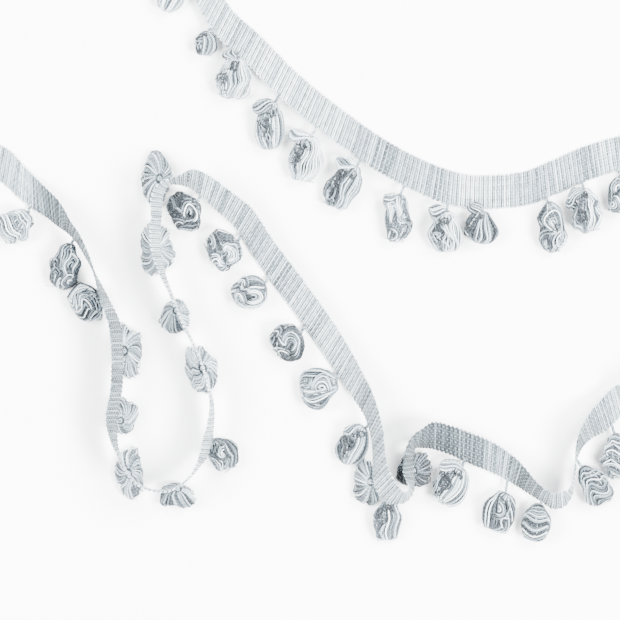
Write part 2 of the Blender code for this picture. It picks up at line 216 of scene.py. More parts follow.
LOWER_POMPOMS = table_of(
    PompomRow,
    ("lower_01", 31, 205, 29, 216, 216, 8, 20, 19, 14, 40, Lay.ARCH, 0.34),
    ("lower_02", 74, 239, 71, 246, 256, 8, 25, 17, 14, -30, Lay.KNOT, 0.46),
    ("lower_03", 101, 285, 98, 295, 215, 30, 17, 23, 14, 50, Lay.WAVE, 0.55),
    ("lower_04", 123, 352, 125, 351, 5, 78, 11, 29, 17, 20, Lay.CROWN, 0.45),
    ("lower_05", 118, 422, 121, 420, 70, 70, 11.5, 20, 21, -25, Lay.CROWN, 0.48),
    ("lower_06", 129, 473, 129, 473, 10, 86, 11, 30, 15, 20, Lay.CROWN, 0.44),
    ("lower_07", 178, 486, 178, 489, 270, 52, 10.5, 19, 15, -20, Lay.CROWN, 0.58),
    ("lower_08", 212, 438, 215, 441, 305, 10, 18, 17, 14, 35, Lay.WAVE, 0.59),
    ("lower_09", 203, 366, 203, 368, 200, 80, 11, 28, 18, 25, Lay.CROWN, 0.37),
    ("lower_10", 178, 308, 177, 311, 250, 66, 11.5, 19, 20, -20, Lay.CROWN, 0.41),
    ("lower_11", 161, 250, 158, 250, 183, 84, 11, 30, 18, 20, Lay.CROWN, 0.39),
    ("lower_12", 167, 188, 160, 179, 180, 78, 10.5, 31, 16, -20, Lay.CROWN, 0.47),
    ("lower_13", 201, 196, 197, 204, 212, 12, 17, 25, 15, 35, Lay.KNOT, 0.95),
    ("lower_14", 241, 236, 237, 244, 206, 8, 17, 26, 15, -35, Lay.KNOT, 0.38),
    ("lower_15", 268, 278, 265, 287, 197, 8, 19, 22, 15, 45, Lay.KNOT, 0.37),
    ("lower_16", 304, 326, 301, 336, 207, 8, 17, 26, 15, -30, Lay.KNOT, 0.70),
    ("lower_17", 338, 375, 335, 383, 192, 8, 20, 22, 15, 45, Lay.WAVE, 0.43),
    ("lower_18", 369, 425, 363, 429, 240, 10, 22, 15, 13, -35, Lay.ONION, 0.52),
    ("lower_19", 374, 481, 370, 481, 180, 76, 11.5, 26, 14, 20, Lay.CROWN, 0.55),
    ("lower_20", 389, 502, 389, 502, 268, 12, 22, 16, 11, 15, Lay.ONION, 0.41),
    ("lower_21", 413, 469, 413, 470, 40, 82, 11.5, 21, 21, -20, Lay.CROWN, 0.91),
    ("lower_22", 464, 460, 461, 469, 238, 10, 22, 20, 14, 30, Lay.ONION, 0.46),
    ("lower_23", 507, 480, 505, 494, 250, 8, 22, 18, 14, -30, Lay.WAVE, 0.59),
    ("lower_24", 541, 501, 539, 505, 262, 10, 20, 17, 13, 40, Lay.ARCH, 0.48),
    ("lower_25", 576, 459, 582, 468, 303, 8, 24, 16, 14, -35, Lay.ARCH, 0.57),
    ("lower_26", 612, 425, 615, 436, 277, 8, 25, 18, 15, 40, Lay.ARCH, 0.50),
)
TOP_POMPOMS = table_of(
    PompomRow,
    ("top_01", 187, -28, 179, -24, 250, 8, 22, 16, 14, 30, Lay.ONION, 0.14),
    ("top_02", 211, 28, 207, 33, 262, 8, 13, 12, 11, -30, Lay.ONION, 0.51),
    ("top_03", 238, 55, 234, 61, 267, 8, 22, 18, 15, 45, Lay.ONION, 0.22),
    ("top_04", 279, 97, 273, 105, 266, 8, 26, 17, 14, -35, Lay.ONION, 0.36),
    ("top_05", 316, 128, 309, 138, 260, 8, 25, 17, 14, 35, Lay.ONION, 0.25),
    ("top_06", 361, 161, 354, 168, 243, 8, 26, 17, 14, -30, Lay.ONION, 0.60),
    ("top_07", 404, 187, 398, 197, 268, 8, 26, 17, 14, 40, Lay.KNOT, 0.23),
    ("top_08", 448, 204, 446, 213, 272, 8, 22, 18, 15, -40, Lay.ONION, 0.15),
    ("top_09", 480, 208, 480, 213, 268, 8, 17, 18, 14, 35, Lay.ONION, 0.70),
    ("top_10", 546, 198, 548, 205, 279, 8, 27, 17, 14, -30, Lay.KNOT, 0.41),
    ("top_11", 583, 182, 583, 191, 280, 8, 24, 17, 15, 40, Lay.ONION, 0.35),
    ("top_12", 618, 171, 620, 179, 268, 8, 19, 17, 14, -35, Lay.KNOT, 0.34),
)
TURN_POMPOMS = table_of(
    PompomRow,
    ("turn_01", 660, 377, 660, 377, 142, 84, 11, 25, 18, 25, Lay.CROWN, 0.45),
    ("turn_02", 684, 331, 684, 331, 161, 84, 11, 25, 18, -25, Lay.CROWN, 0.40),
    ("turn_03", 695, 279, 695, 279, 178, 84, 11, 25, 18, 25, Lay.CROWN, 0.50),
    ("turn_04", 691, 227, 691, 227, 197, 84, 11, 25, 18, -25, Lay.CROWN, 0.45),
)


class SideLobe(NamedTuple):
    """A lock that fell to one side of its pompom's tie: degrees and millimetres."""

    pompom: str
    bearing: float
    length: float
    across: float
    thick: float
    dye: float


SIDE_LOBES = table_of(
    SideLobe,
    ("top_03", 127, 8.0, 7.0, 7.0, 0.60), ("top_04", 195, 11.0, 10.0, 9.0, 0.62),
    ("top_05", 169, 11.5, 8.0, 8.0, 0.34), ("top_06", 153, 11.0, 8.5, 8.0, 0.34),
    ("top_07", 208, 10.0, 9.5, 8.5, 0.52), ("top_08", 186, 10.0, 12.0, 9.0, 0.50),
    ("top_09", 140, 7.5, 8.0, 7.0, 0.60), ("top_11", 218, 12.5, 9.0, 9.0, 0.78),
    ("lower_22", 172, 12.0, 10.0, 9.0, 0.40), ("lower_18", 190, 10.0, 9.0, 8.0, 0.40),
)


class Curl(NamedTuple):
    """A lock that curls on top of a lying pompom.

    along and aside place its middle, and reach is its outer radius, as shares of the pompom's
    half length and half width from its own middle. It opens towards the bearing opens, measured
    from the pompom's tip, and sweeps the rest of the way round, in degrees. Its dye is deeper
    than the pompom's by deeper.
    """

    along: float
    aside: float
    reach: float
    opens: float
    sweep: float
    deeper: float = 0.0


CURLS = {
    Lay.KNOT: (Curl(0.62, 0.50, 0.62, 100, 220), Curl(0.50, -0.62, 0.60, 20, 200, 0.1),
               Curl(-0.15, -0.45, 0.55, -120, 170, 0.2), Curl(-0.28, 0.22, 0.72, 25, 285, -0.1)),
    Lay.WAVE: (Curl(0.55, 0.55, 0.60, 80, 190), Curl(-0.30, -0.20, 0.78, -75, 215)),
    Lay.ONION: (Curl(0.58, -0.55, 0.34, 200, 230, 0.3), Curl(0.10, -0.72, 0.38, -60, 230, 0.4),
                Curl(-0.34, -0.42, 0.36, 80, 240, 0.5), Curl(-0.72, 0.02, 0.30, 0, 260, 0.5)),
    Lay.ARCH: (),
    Lay.CROWN: (),
}


def linear(hex_colour: str) -> tuple[float, float, float, float]:
    """Turn an sRGB hex colour into linear red, green, blue and alpha.

    Args:
        hex_colour: a colour such as "#C9D3DA".

    Returns:
        The linear colour, with alpha 1.
    """
    parts = [int(hex_colour[place:place + 2], 16) / 255 for place in (1, 3, 5)]
    return (*[part / 12.92 if part <= 0.04045 else ((part + 0.055) / 1.055) ** 2.4
              for part in parts], 1.0)


def add_node(tree: bpy.types.NodeTree, kind: str, settings: dict | None = None,
             links: dict | None = None) -> bpy.types.Node:
    """Add a node to a material.

    Args:
        tree: the material's node tree.
        kind: the node's type name.
        settings: values by socket name, or by attribute name where no socket has it.
        links: output sockets by the name or number of the input that they feed.

    Returns:
        The new node.
    """
    node = tree.nodes.new(kind)
    for name, value in (settings or {}).items():
        if isinstance(name, int) or name in node.inputs:
            node.inputs[name].default_value = value
        else:
            setattr(node, name, value)
    for name, output in (links or {}).items():
        tree.links.new(output, node.inputs[name])
    return node


def new_material(name: str, sockets: dict) -> bpy.types.Material:
    """Make a material with values on its shader's own sockets.

    Args:
        name: the material's name.
        sockets: values by socket name.

    Returns:
        The new material.
    """
    material = bpy.data.materials.new(name)
    material.use_nodes = True
    for socket, value in sockets.items():
        material.node_tree.nodes["Principled BSDF"].inputs[socket].default_value = value
    return material


def put(name: str, data: bpy.types.ID) -> bpy.types.Object:
    """Put a mesh, a light or a camera into the scene.

    Args:
        name: the object's name.
        data: what it holds.

    Returns:
        The new object.
    """
    thing = bpy.data.objects.new(name, data)
    bpy.context.scene.collection.objects.link(thing)
    return thing


def plan_point(x: float, y: float) -> np.ndarray:
    """Place a pixel of the photograph on the table.

    Args:
        x: pixel column.
        y: pixel row.

    Returns:
        The point at z = 0, in metres.
    """
    return np.array([(x - MIDDLE_X) * PIXEL, (MIDDLE_Y - y) * PIXEL, 0.0])


def unit(vectors: np.ndarray) -> np.ndarray:
    """Scale vectors to length 1."""
    return vectors / np.maximum(np.linalg.norm(vectors, axis=-1, keepdims=True), 1e-12)


def waves(rng: np.random.Generator, places: np.ndarray, pitch: float,
          count: int = 4) -> np.ndarray:
    """Smooth random waves between about -1 and 1.

    Args:
        rng: the seeded generator that gives the phases.
        places: where the waves are read.
        pitch: the longest wave's length, in the same unit as places.
        count: how many waves are added, each shorter than the last.

    Returns:
        One value for each place.
    """
    total = np.zeros_like(places)
    for order in range(count):
        step = pitch / (1.0 + 0.83 * order)
        total += np.sin(TAU * (places / step + rng.random())) / (1.0 + 0.4 * order)
    return total / math.sqrt(count)


@dataclass(frozen=True)
class YarnFinish:
    """Plied cotton and viscose yarn, space-dyed from white through pale blue to slate.

    The spun plies give soft diagonal lines, in bumps and in painted shade along their grooves,
    the viscose a slight lustre, and loose fibres a haze that lightens grazing edges.
    """

    name: str
    stops: tuple[tuple[float, str], ...]
    roughness: float = 0.75
    specular: float = 0.15
    sheen: float = 0.10
    sheen_roughness: float = 0.5
    ply_pitch_mm: float = 2.2
    ply_depth: float = 0.8
    ply_shade: float = 0.09
    plies: int = 2
    fibre_mm: float = 0.25
    fleck_mm: float = 1.6
    fleck_depth: float = 0.22
    bump_mm: float = 0.25

    def build(self) -> bpy.types.Material:
        """Make the material.

        Returns:
            The new material.
        """
        material = new_material(self.name, {
            "Roughness": self.roughness, "Specular IOR Level": self.specular,
            "Sheen Weight": self.sheen, "Sheen Roughness": self.sheen_roughness})
        tree = material.node_tree
        shader = tree.nodes["Principled BSDF"]
        # The dye attribute is each point's depth of dye, with painted shade added in shaded places
        dye = add_node(tree, "ShaderNodeAttribute", {"attribute_name": "dye"})
        place = add_node(tree, "ShaderNodeTexCoord")
        # Ply lines run aslant round the yarn
        yarn = add_node(tree, "ShaderNodeUVMap", {"uv_map": "yarn"})
        split = add_node(tree, "ShaderNodeSeparateXYZ", None, {0: yarn.outputs["UV"]})
        turn = add_node(tree, "ShaderNodeMath",
                        {"operation": "MULTIPLY_ADD", 1: TAU / self.ply_pitch_mm, 2: 0.0},
                        {0: split.outputs["X"]})
        around = add_node(tree, "ShaderNodeMath",
                          {"operation": "MULTIPLY_ADD", 1: self.plies * TAU},
                          {0: split.outputs["Y"], 2: turn.outputs[0]})
        ply = add_node(tree, "ShaderNodeMath", {"operation": "SINE"}, {0: around.outputs[0]})
        # Flecks where the dye took unevenly, and painted shade in the grooves between the plies
        fleck = add_node(tree, "ShaderNodeTexNoise",
                         {"Scale": 1.0 / (self.fleck_mm * MILLIMETRE), "Detail": 3.0},
                         {"Vector": place.outputs["Object"]})
        spread = add_node(tree, "ShaderNodeMath",
                          {"operation": "MULTIPLY_ADD", 1: self.fleck_depth,
                           2: -self.fleck_depth / 2},
                          {0: fleck.outputs["Fac"]})
        taken = add_node(tree, "ShaderNodeMath", {"operation": "ADD"},
                         {0: dye.outputs["Fac"], 1: spread.outputs[0]})
        shaded = add_node(tree, "ShaderNodeMath",
                          {"operation": "MULTIPLY_ADD", 1: -self.ply_shade},
                          {0: ply.outputs[0], 2: taken.outputs[0]})
        ramp = add_node(tree, "ShaderNodeValToRGB", None, {"Fac": shaded.outputs[0]})
        band = ramp.color_ramp
        while len(band.elements) < len(self.stops):
            band.elements.new(0.5)
        for element, (position, colour) in zip(band.elements, self.stops):
            element.position = position
            element.color = linear(colour)
        tree.links.new(ramp.outputs["Color"], shader.inputs["Base Color"])
        fibre = add_node(tree, "ShaderNodeTexNoise",
                         {"Scale": 1.0 / (self.fibre_mm * MILLIMETRE), "Detail": 2.0},
                         {"Vector": place.outputs["Object"]})
        height = add_node(tree, "ShaderNodeMath", {"operation": "MULTIPLY_ADD", 1: 0.5},
                          {0: ply.outputs[0], 2: fibre.outputs["Fac"]})
        bump = add_node(tree, "ShaderNodeBump",
                        {"Strength": self.ply_depth, "Distance": self.bump_mm * MILLIMETRE},
                        {"Height": height.outputs[0]})
        tree.links.new(bump.outputs["Normal"], shader.inputs["Normal"])
        return material


HEADING_FINISH = YarnFinish(
    name="viscose_gimp_weft",
    stops=((0.00, "#EAF1F4"), (0.20, "#CCD7DC"), (0.40, "#A5B3BA"), (0.60, "#77858D"),
           (0.80, "#4A555B"), (1.00, "#20282D")),
    ply_pitch_mm=1.1,
    ply_shade=0.14,
)
POMPOM_FINISH = YarnFinish(
    name="space_dyed_loop_yarn",
    stops=((0.00, "#F0F5F7"), (0.20, "#CAD5DA"), (0.40, "#99A8B0"), (0.60, "#6B7982"),
           (0.80, "#454F56"), (1.00, "#171C20")),
    sheen=0.12,
)


@dataclass
class YarnMesh:
    """Tubes and skins of yarn gathered into one mesh, each point with its dye and any painted
    shade.
    """

    points: list[np.ndarray] = field(default_factory=list)
    dye_and_shade: list[np.ndarray] = field(default_factory=list)
    loops: list[np.ndarray] = field(default_factory=list)
    sizes: list[np.ndarray] = field(default_factory=list)
    places: list[np.ndarray] = field(default_factory=list)
    count: int = 0

    def add_rings(self, rings: np.ndarray, dye: np.ndarray, along: np.ndarray) -> None:
        """Add closed skins, each drawn through its rings.

        Args:
            rings: points by skin, ring and corner, turning anticlockwise seen from the far end.
            dye: depth of dye, with any painted shade, by skin and ring.
            along: length along the yarn by skin and ring, in millimetres.
        """
        skins, steps, sides, _ = rings.shape
        index = self.count + np.arange(skins * steps * sides).reshape(skins, steps, sides)
        after = np.roll(index, -1, axis=2)
        quads = np.stack((index[:, :-1], after[:, :-1], after[:, 1:], index[:, 1:]), axis=-1)
        turn = np.broadcast_to(np.arange(sides) / sides, (skins, steps - 1, sides))
        near = np.broadcast_to(along[:, :-1, None], turn.shape)
        far = np.broadcast_to(along[:, 1:, None], turn.shape)
        ahead = turn + 1.0 / sides
        yarn = np.stack((np.stack((near, turn), -1), np.stack((near, ahead), -1),
                         np.stack((far, ahead), -1), np.stack((far, turn), -1)), axis=-2)
        caps = np.concatenate((index[:, 0, ::-1], index[:, -1]))
        self.points.append(rings.reshape(-1, 3))
        self.dye_and_shade.append(np.repeat(dye.reshape(-1), sides))
        self.loops += [quads.reshape(-1), caps.reshape(-1)]
        self.sizes += [np.full(quads.size // 4, 4), np.full(len(caps), sides)]
        self.places += [yarn.reshape(-1, 2), np.zeros((caps.size, 2))]
        self.count += skins * steps * sides

    def add_tubes(self, paths: np.ndarray, ups: np.ndarray, radius: float | np.ndarray,
                  dye: np.ndarray, sides: int, flat: float = 1.0) -> None:
        """Add round yarns.

        Args:
            paths: middle lines, by yarn and point.
            ups: a way off each middle line that the first corner points to.
            radius: the yarn's radius, or one for each point.
            dye: depth of dye, with any painted shade, by yarn and point.
            sides: corners round the yarn.
            flat: how much thinner the yarn is along ups.
        """
        along = np.gradient(paths, axis=1)
        travel = unit(along)
        up = unit(ups - travel * np.sum(ups * travel, axis=-1, keepdims=True))
        side = np.cross(travel, up)
        angle = TAU * np.arange(sides) / sides
        reach = np.broadcast_to(radius, paths.shape[:2])[:, :, None, None]
        rings = paths[:, :, None] + reach * (
            flat * np.cos(angle)[:, None] * up[:, :, None]
            + np.sin(angle)[:, None] * side[:, :, None])
        hops = np.linalg.norm(np.diff(paths, axis=1), axis=-1)
        run = np.concatenate((np.zeros((len(paths), 1)), np.cumsum(hops, axis=1)), axis=1)
        self.add_rings(rings, dye, run / MILLIMETRE)

    def build(self, name: str, material: bpy.types.Material) -> bpy.types.Object:
        """Turn what was added into one object.

        Args:
            name: the object's name.
            material: its finish.

        Returns:
            The new object.
        """
        loops, sizes = np.concatenate(self.loops), np.concatenate(self.sizes)
        mesh = bpy.data.meshes.new(name)
        mesh.vertices.add(self.count)
        mesh.vertices.foreach_set("co", np.concatenate(self.points).ravel())
        mesh.loops.add(len(loops))
        mesh.loops.foreach_set("vertex_index", loops.astype(np.int32))
        mesh.polygons.add(len(sizes))
        mesh.polygons.foreach_set("loop_start",
                                  np.concatenate(([0], np.cumsum(sizes)[:-1])).astype(np.int32))
        mesh.update(calc_edges=True)
        mesh.polygons.foreach_set("use_smooth", np.ones(len(sizes), dtype=bool))
        dye = mesh.attributes.new("dye", "FLOAT", "POINT")
        dye.data.foreach_set("value", np.concatenate(self.dye_and_shade).astype(np.float32))
        yarn = mesh.uv_layers.new(name="yarn")
        yarn.data.foreach_set("uv", np.concatenate(self.places).astype(np.float32).ravel())
        mesh.validate()
        mesh.materials.append(material)
        return put(name, mesh)


class Route:
    """The heading's fringe edge, rib direction and face, by length along its middle line."""

    def __init__(self, stations: Sequence[Station], width: float, steps: int = 24) -> None:
        """Draw a smooth line through the stations.

        Args:
            stations: where the band passes.
            width: the band's width.
            steps: how many short steps are drawn from each station to the next.
        """
        values = np.array([(*plan_point(row.x, row.y)[:2], math.radians(row.bearing),
                            math.radians(row.lean), row.rise * MILLIMETRE) for row in stations])
        hops = np.hypot(np.diff(values[:, 0]), np.diff(values[:, 1]))
        rows = self.smooth(np.concatenate(([0.0], np.cumsum(hops))), values, steps)
        bearing, lean = rows[:, 2], rows[:, 3]
        self.edge = rows[:, [0, 1, 4]]
        self.rib = np.stack((np.cos(lean) * np.cos(bearing), np.cos(lean) * np.sin(bearing),
                             np.sin(lean)), axis=1)
        middle = self.edge + self.rib * (width / 2)
        self.lengths = np.concatenate(
            ([0.0], np.cumsum(np.linalg.norm(np.diff(middle, axis=0), axis=1))))
        self.travel = np.gradient(middle, self.lengths, axis=0)

    @staticmethod
    def smooth(knots: np.ndarray, values: np.ndarray, steps: int) -> np.ndarray:
        """Fill a table with a smooth curve through every row.

        Args:
            knots: each row's place along the curve.
            values: the rows.
            steps: rows drawn for each given one.

        Returns:
            The filled table.
        """
        gaps = np.diff(knots)[:, None]
        rates = np.diff(values, axis=0) / gaps
        slopes = np.concatenate((rates[:1], (rates[1:] * gaps[:-1] + rates[:-1] * gaps[1:])
                                 / (gaps[1:] + gaps[:-1]), rates[-1:]))
        part = (np.arange(steps) / steps)[None, :, None]
        rows = ((2 * part**3 - 3 * part**2 + 1) * values[:-1, None]
                + (part**3 - 2 * part**2 + part) * (gaps * slopes[:-1])[:, None]
                + (3 * part**2 - 2 * part**3) * values[1:, None]
                + (part**3 - part**2) * (gaps * slopes[1:])[:, None])
        return np.concatenate((rows.reshape(-1, values.shape[1]), values[-1:]))

    def read(self, column: np.ndarray, lengths: np.ndarray) -> np.ndarray:
        """A column's values at lengths along the band."""
        return np.stack([np.interp(lengths, self.lengths, column[:, axis])
                         for axis in range(3)], -1)

    def sections(self, lengths: np.ndarray) -> tuple[np.ndarray, np.ndarray, np.ndarray]:
        """Fringe edge, rib direction and face normal at lengths along the band.

        Args:
            lengths: any array of lengths.

        Returns:
            Three arrays of vectors.
        """
        rib = unit(self.read(self.rib, lengths))
        face = unit(np.cross(self.read(self.travel, lengths), rib))
        return self.read(self.edge, lengths), rib, face

    def length_near(self, x: float, y: float) -> float:
        """Length along the band where its fringe edge passes nearest to a pixel."""
        away = self.edge[:, :2] - plan_point(x, y)[:2]
        return float(self.lengths[int(np.argmin(np.hypot(away[:, 0], away[:, 1])))])


@dataclass
class Heading:
    """The ribbed band: weft, warps and a thin dark sheet of painted shade that shows between the
    passes.
    """

    route: Route
    width: float = 0.0200
    weft_width: float = 1.02 * MILLIMETRE
    weft_flat: float = 0.95
    pass_pitch: float = 1.35 * MILLIMETRE
    dye_shift: float = 0.10
    dye_swap: float = 0.14
    pair_draw: float = 0.10 * MILLIMETRE
    weave_depth: float = 0.06 * MILLIMETRE
    points_in_pass: int = 9
    weft_sides: int = 6
    warp_count: int = 9
    warp_thickness: float = 0.36 * MILLIMETRE
    warp_sides: int = 4
    warp_paleness: float = 0.5
    # A dark sheet inside the band: painted shade between the passes
    shade_sheet_thickness: float = 0.50 * MILLIMETRE
    shade_sheet_inset: float = 0.60 * MILLIMETRE
    shade_sheet_dye: float = 0.88
    shade_sheet_clearance: float = 0.1 * MILLIMETRE
    dye_seed: int = 7
    dye_drift: float = 0.12
    dye_drift_pitch: float = 0.030
    dye_scatter: float = 0.09
    dye_mottle: float = 0.09
    mottle_points: float = 17.0
    weave_seed: int = 11
    pass_sway: float = 0.07 * MILLIMETRE
    pass_sway_pitch: float = 0.011
    pass_sway_step: float = 0.013
    pass_scatter: float = 0.05 * MILLIMETRE
    hairpin_angles: tuple[float, ...] = (-50.0, 0.0, 50.0)
    hairpin_spread: float = 0.35
    warp_depth: float = 0.48

    def __post_init__(self) -> None:
        """Count the passes of weft and settle how deep each was dyed."""
        self.passes = int(self.route.lengths[-1] / self.pass_pitch)
        order = np.arange(self.passes)
        self.pass_places = (order + 0.5) * self.route.lengths[-1] / self.passes
        self.pass_places -= self.pair_draw * np.where(order % 2 == 0, -1, 1)
        stops = sorted((self.route.length_near(stop.x, stop.y), stop.depth)
                       for stop in HEADING_DYES)
        rng = np.random.default_rng(self.dye_seed)
        self.pass_dyes = np.interp(self.pass_places, *zip(*stops)) + self.dye_shift
        # One length of the yarn goes out pale and comes back deeper
        self.pass_dyes *= 1.0 + self.dye_swap * np.where(order % 2 == 0, -1, 1)
        self.pass_dyes += self.dye_drift * waves(rng, self.pass_places, self.dye_drift_pitch, 5)
        self.pass_dyes += rng.normal(0.0, self.dye_scatter, self.passes)

    def place(self, lengths: np.ndarray, across: np.ndarray, lift: np.ndarray) -> np.ndarray:
        """Turn band coordinates into points.

        Args:
            lengths: along the band.
            across: from the fringe edge towards the free edge.
            lift: off the band's middle, along its face normal.

        Returns:
            The points.
        """
        edge, rib, face = self.route.sections(lengths)
        return edge + rib * across[..., None] + face * lift[..., None]

    def weft(self, material: bpy.types.Material) -> bpy.types.Object:
        """One yarn laid back and forth, with a hairpin at each edge.

        Args:
            material: the yarn's finish.

        Returns:
            The weft.
        """
        radius = self.weft_width / 2
        rng = np.random.default_rng(self.weave_seed)
        turn = self.pass_pitch / 2
        near, far = turn, self.width - turn
        span = np.linspace(0.0, 1.0, self.points_in_pass)
        order = np.arange(self.passes)[:, None]
        outward = order % 2 == 0
        across = np.where(outward, near + (far - near) * span, far - (far - near) * span)
        side = np.where(outward, 1.0, -1.0)
        lengths = np.broadcast_to(self.pass_places[:, None], across.shape)
        lengths = lengths + self.pass_sway * waves(rng, across + order * self.pass_sway_step,
                                                   self.pass_sway_pitch, 3)
        lift = self.weave_depth * side * np.sin(math.pi * span * (self.warp_count + 1))
        lift = lift + self.pass_scatter * rng.normal(size=(self.passes, 1))
        # A few points carry the yarn round each hairpin
        angles = np.radians(self.hairpin_angles)
        following = np.append(self.pass_places[1:], self.pass_places[-1] + self.pass_pitch)
        middle = (self.pass_places + following)[:, None] / 2
        half = (following - self.pass_places)[:, None] / 2
        loop_lengths = middle + half * np.sin(angles)
        edge_line = np.where(outward, far, near)
        reach = half * (1.0 + self.hairpin_spread * rng.random((self.passes, 1)))
        loop_across = edge_line + side * reach * np.cos(angles)
        loop_lift = np.zeros_like(loop_across)
        lengths = np.concatenate((lengths, loop_lengths), axis=1).reshape(1, -1)
        across = np.concatenate((across, loop_across), axis=1).reshape(1, -1)
        lift = np.concatenate((lift, loop_lift), axis=1).reshape(1, -1)
        dye = np.repeat(self.pass_dyes, self.points_in_pass + len(angles))[None]
        dye = dye + self.dye_mottle * waves(rng, np.arange(float(dye.size)),
                                            self.mottle_points, 4)
        paths = self.place(lengths, across, lift)
        paths[..., 2] = np.maximum(paths[..., 2], radius * self.weft_flat)
        _, _, face = self.route.sections(lengths)
        yarn = YarnMesh()
        yarn.add_tubes(paths, face, radius, dye, self.weft_sides, self.weft_flat)
        return yarn.build("heading_weft", material)

    def warps(self, material: bpy.types.Material) -> bpy.types.Object:
        """Fine threads that bind the weft, over one pass and under the next.

        Args:
            material: the thread's finish.

        Returns:
            The warps.
        """
        order = np.arange(self.passes)
        yarn = YarnMesh()
        depth = (self.weft_width * self.weft_flat + self.warp_thickness) * self.warp_depth
        for thread in range(self.warp_count):
            across = np.full(self.passes, self.width * (thread + 1) / (self.warp_count + 1))
            lift = np.where((order + thread) % 2 == 0, depth, -depth)
            paths = self.place(self.pass_places, across, lift)[None]
            paths[..., 2] = np.maximum(paths[..., 2], self.warp_thickness / 2)
            _, _, face = self.route.sections(self.pass_places)
            dye = np.clip(self.pass_dyes * self.warp_paleness, 0.0, 1.0)[None]
            yarn.add_tubes(paths, face[None], self.warp_thickness / 2, dye, self.warp_sides)
        return yarn.build("heading_warps", material)

    def shade_sheet(self, material: bpy.types.Material) -> bpy.types.Object:
        """A thin dark sheet inside the band: painted shade that shows between the passes.

        Args:
            material: its finish.

        Returns:
            The sheet of painted shade, thin and closed.
        """
        lengths = np.linspace(0.0, self.route.lengths[-1], self.passes)
        low, high = self.shade_sheet_inset, self.width - self.shade_sheet_inset
        half = self.shade_sheet_thickness / 2
        corners = ((low, -half), (low, half), (high, half), (high, -half))
        rings = np.stack([self.place(lengths, np.full_like(lengths, across),
                                     np.full_like(lengths, lift)) for across, lift in corners], 1)
        rings[..., 2] = np.maximum(rings[..., 2], self.shade_sheet_clearance)
        yarn = YarnMesh()
        yarn.add_rings(rings[None, :, ::-1], np.full((1, len(lengths)), self.shade_sheet_dye),
                       lengths[None] / MILLIMETRE)
        return yarn.build("heading_shade_sheet", material)

    def dress(self, material: bpy.types.Material) -> list[bpy.types.Object]:
        """Build the band, hang it on the root and hide the part that it stands for.

        Args:
            material: the yarn's finish.

        Returns:
            The band's pieces.
        """
        made = [self.shade_sheet(material), self.weft(material), self.warps(material)]
        for piece in made:
            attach(piece, "root")
            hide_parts("heading_tape")
        return made


# Along the pompom's axis, and out from it, as shares of its length and half width
LYING_FORM = ((0.02, 0.07), (-0.03, 0.20), (-0.02, 0.38), (0.06, 0.57), (0.18, 0.76), (0.34, 0.93),
              (0.51, 1.00), (0.68, 1.00), (0.83, 0.90), (0.94, 0.72), (1.01, 0.50), (1.02, 0.30),
              (0.97, 0.14))
CROWN_FORM = ((0.05, 0.05), (0.01, 0.16), (0.02, 0.32), (0.09, 0.50), (0.21, 0.68), (0.37, 0.84),
              (0.55, 0.96), (0.72, 1.00), (0.86, 0.97), (0.95, 0.86), (0.98, 0.70), (0.97, 0.52))


class Body:
    """The rounded form that a skein's yarns lie on."""

    def __init__(self, tie: np.ndarray, bearing: float, pitch: float,
                 size: tuple[float, float, float]) -> None:
        """Set the form's own axes.

        Args:
            tie: where the skein is tied.
            bearing: which way it points from its tie, in degrees.
            pitch: how steeply it points down, in degrees.
            size: along its axis and the two ways across it, in millimetres.
        """
        self.tie = tie
        self.standing = pitch > STANDING_PITCH
        turn, dip = math.radians(bearing), math.radians(pitch)
        self.axis = np.array([math.cos(turn) * math.cos(dip), math.sin(turn) * math.cos(dip),
                              -math.sin(dip)])
        self.side = np.array([-math.sin(turn), math.cos(turn), 0.0])
        self.up = np.cross(self.axis, self.side)
        self.length = size[0] * MILLIMETRE
        self.wide, self.deep = size[1] * MILLIMETRE / 2, size[2] * MILLIMETRE / 2
        self.outline = np.array(CROWN_FORM if self.standing else LYING_FORM)

    def skin(self, angle: np.ndarray, share: np.ndarray, full: float | np.ndarray) -> np.ndarray:
        """Points on or under the form.

        Args:
            angle: round the axis.
            share: from 0 at the tie to 1 at the tip.
            full: a scale on the distance from the axis.

        Returns:
            The points, pressed level where a lying form meets the table.
        """
        knots = np.linspace(0.0, 1.0, len(self.outline))
        along = np.interp(share, knots, self.outline[:, 0])
        reach = np.interp(share, knots, self.outline[:, 1])
        angle, along, reach = np.broadcast_arrays(angle, along, reach * full)
        pressed = (np.sin(angle) < 0) & (not self.standing)
        height = np.where(pressed, np.sqrt(np.maximum(reach, 0.0)), reach)
        return (self.tie + self.axis * (self.length * along)[..., None]
                + self.side * (self.wide * reach * np.cos(angle))[..., None]
                + self.up * (self.deep * height * np.sin(angle))[..., None])

    def lowest(self) -> float:
        """Height of the form's lowest point."""
        angle = np.linspace(0.0, TAU, FORM_SAMPLES, endpoint=False)[:, None]
        share = np.linspace(0.0, 1.0, FORM_SAMPLES)[None]
        return float(self.skin(angle, share, 1.0)[..., 2].min())

    def girth(self) -> float:
        """Length once round the form's widest part."""
        wide, deep = self.wide, self.deep
        return math.pi * (3 * (wide + deep) - math.sqrt((3 * wide + deep) * (wide + 3 * deep)))


